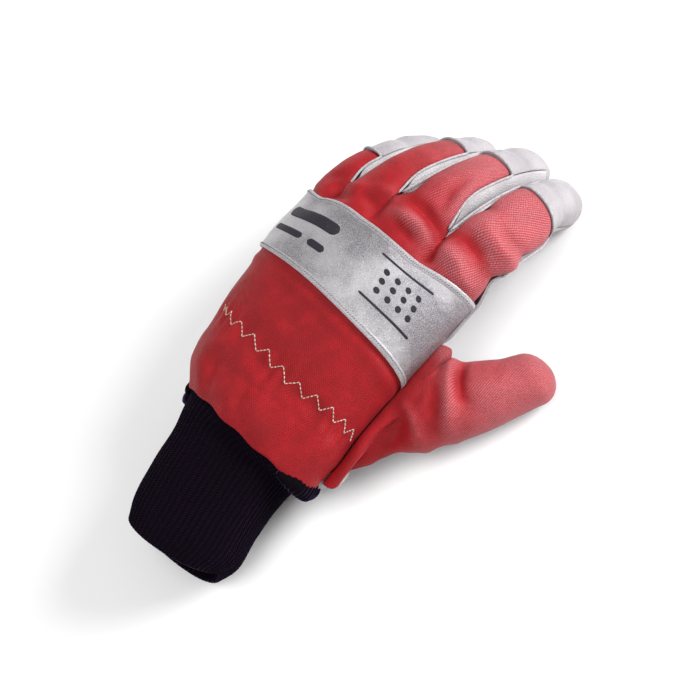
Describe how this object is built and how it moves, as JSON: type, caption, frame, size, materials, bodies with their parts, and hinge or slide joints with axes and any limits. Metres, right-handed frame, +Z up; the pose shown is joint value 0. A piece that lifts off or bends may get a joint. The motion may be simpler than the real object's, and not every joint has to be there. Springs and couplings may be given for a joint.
{
  "type": "chainsaw glove",
  "caption": "Left-hand protective work glove with padded cloth back, reflective band, leather palm, fingertips and finger sides, and ribbed knitted cuff, lying palm down.",
  "frame": {"origin": "middle of the glove's outline on the surface that it lies on", "axes": "+Y from the cuff to the fingertips, +X to the thumb side, +Z up from the palm to the back of the hand"},
  "size_m": [0.1578, 0.2602, 0.0643],
  "materials": {
    "red_cloth": "matte woven cloth",
    "silver_band": "satin reflective cloth",
    "light_leather": "matte grain leather",
    "dark_knit": "matte ribbed knit",
    "welt_piping": "matte piping"
  },
  "bodies": {
    "root": {"back_panel": "red_cloth", "palm_panel": "light_leather", "reflective_band": "silver_band", "thumb_back": "red_cloth", "thumb_palm": "light_leather", "wrist_cuff": "dark_knit", "fingertip_cap_pinky": "light_leather", "welt_pinky": "welt_piping", "fourchette_pinky_ring": "light_leather", "fingertip_cap_ring": "light_leather", "welt_ring": "welt_piping", "fourchette_ring_middle": "light_leather", "fingertip_cap_middle": "light_leather", "welt_middle": "welt_piping", "fourchette_middle_index": "light_leather", "fingertip_cap_index": "light_leather", "welt_index": "welt_piping"}
  },
  "joints": []
}
